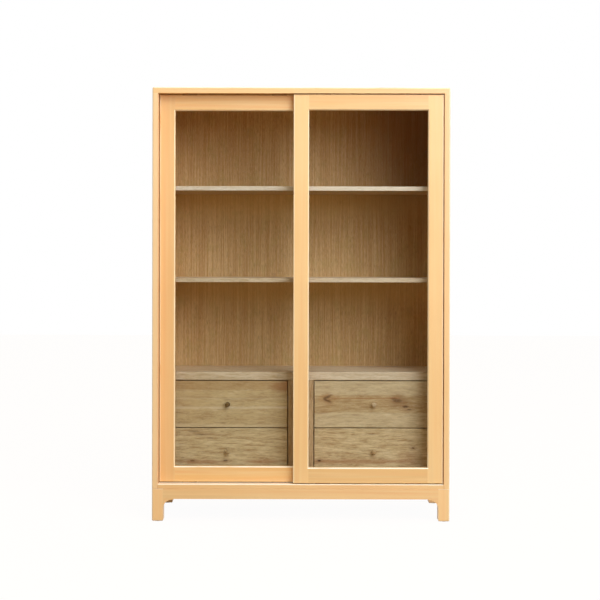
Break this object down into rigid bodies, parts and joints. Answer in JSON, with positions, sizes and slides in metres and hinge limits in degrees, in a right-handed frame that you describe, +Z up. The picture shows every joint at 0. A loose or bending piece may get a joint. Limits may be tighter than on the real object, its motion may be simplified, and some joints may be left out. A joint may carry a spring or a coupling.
{
  "type": "glazed sliding door cabinet",
  "caption": "Tall wooden cabinet on a low leg frame, with overlapping sliding glass doors in front of oak shelves and a case of knobbed drawers.",
  "frame": {"origin": "on the floor under the middle of the cabinet's box", "axes": "+X to the viewer's right along the doors, +Y from the front to the back, +Z up"},
  "size_m": [1.2, 0.42, 1.75],
  "materials": {
    "lacquered_wood": "smooth satin apricot lacquer",
    "oak": "matt oiled oak with open grain and small knots",
    "oak_veneer": "matt straight-grained oak veneer",
    "beech": "plain planed beech",
    "glass": "clear float glass",
    "nylon": "dark brown moulded nylon",
    "steel": "plain drawn steel"
  },
  "bodies": {
    "carcass": {"side_panel_left": "lacquered_wood", "side_panel_right": "lacquered_wood", "top_board": "lacquered_wood", "floor_board": "lacquered_wood", "back_panel": "oak_veneer", "carcass_dowels": "beech", "shelf_upper": "oak", "shelf_lower": "oak", "shelf_pins": "steel", "case_top_board": "oak", "case_base_board": "oak", "case_side_left": "oak", "case_side_right": "oak", "centre_post": "oak", "case_partitions": "oak", "drawer_runners": "beech", "door_track_strips": "nylon", "leg_front_left": "lacquered_wood", "leg_front_right": "lacquered_wood", "leg_rear_left": "lacquered_wood", "leg_rear_right": "lacquered_wood", "apron_front": "lacquered_wood", "apron_rear": "lacquered_wood", "apron_left": "lacquered_wood", "apron_right": "lacquered_wood", "corner_brackets": "lacquered_wood", "foot_glides": "nylon"},
    "door_left": {"door_left_stile_outer": "lacquered_wood", "door_left_stile_meeting": "lacquered_wood", "door_left_rail_top": "lacquered_wood", "door_left_rail_bottom": "lacquered_wood", "door_left_glass": "glass", "door_left_glazing_beads": "lacquered_wood", "door_left_gliders": "nylon", "door_left_top_guides": "nylon"},
    "door_right": {"door_right_stile_outer": "lacquered_wood", "door_right_stile_meeting": "lacquered_wood", "door_right_rail_top": "lacquered_wood", "door_right_rail_bottom": "lacquered_wood", "door_right_glass": "glass", "door_right_glazing_beads": "lacquered_wood", "door_right_gliders": "nylon", "door_right_top_guides": "nylon"},
    "drawer_upper_left": {"drawer_upper_left_front": "oak", "drawer_upper_left_box": "beech", "drawer_upper_left_bottom": "oak_veneer", "drawer_upper_left_knob": "oak"},
    "drawer_upper_right": {"drawer_upper_right_front": "oak", "drawer_upper_right_box": "beech", "drawer_upper_right_bottom": "oak_veneer", "drawer_upper_right_knob": "oak"},
    "drawer_lower_left": {"drawer_lower_left_front": "oak", "drawer_lower_left_box": "beech", "drawer_lower_left_bottom": "oak_veneer", "drawer_lower_left_knob": "oak"},
    "drawer_lower_right": {"drawer_lower_right_front": "oak", "drawer_lower_right_box": "beech", "drawer_lower_right_bottom": "oak_veneer", "drawer_lower_right_knob": "oak"}
  },
  "joints": [
    {"name": "door_left_slide", "type": "slide", "parent": "carcass", "child": "door_left", "axis": [1, 0, 0], "range_m": [0, 0.543]},
    {"name": "door_right_slide", "type": "slide", "parent": "carcass", "child": "door_right", "axis": [1, 0, 0], "range_m": [-0.543, 0]},
    {"name": "drawer_upper_left_slide", "type": "slide", "parent": "carcass", "child": "drawer_upper_left", "axis": [0, -1, 0], "range_m": [0, 0.022]},
    {"name": "drawer_upper_right_slide", "type": "slide", "parent": "carcass", "child": "drawer_upper_right", "axis": [0, 1, 0], "range_m": [-0.052, 0]},
    {"name": "drawer_lower_left_slide", "type": "slide", "parent": "carcass", "child": "drawer_lower_left", "axis": [0, -1, 0], "range_m": [0, 0.022]},
    {"name": "drawer_lower_right_slide", "type": "slide", "parent": "carcass", "child": "drawer_lower_right", "axis": [0, 1, 0], "range_m": [-0.052, 0]}
  ]
}
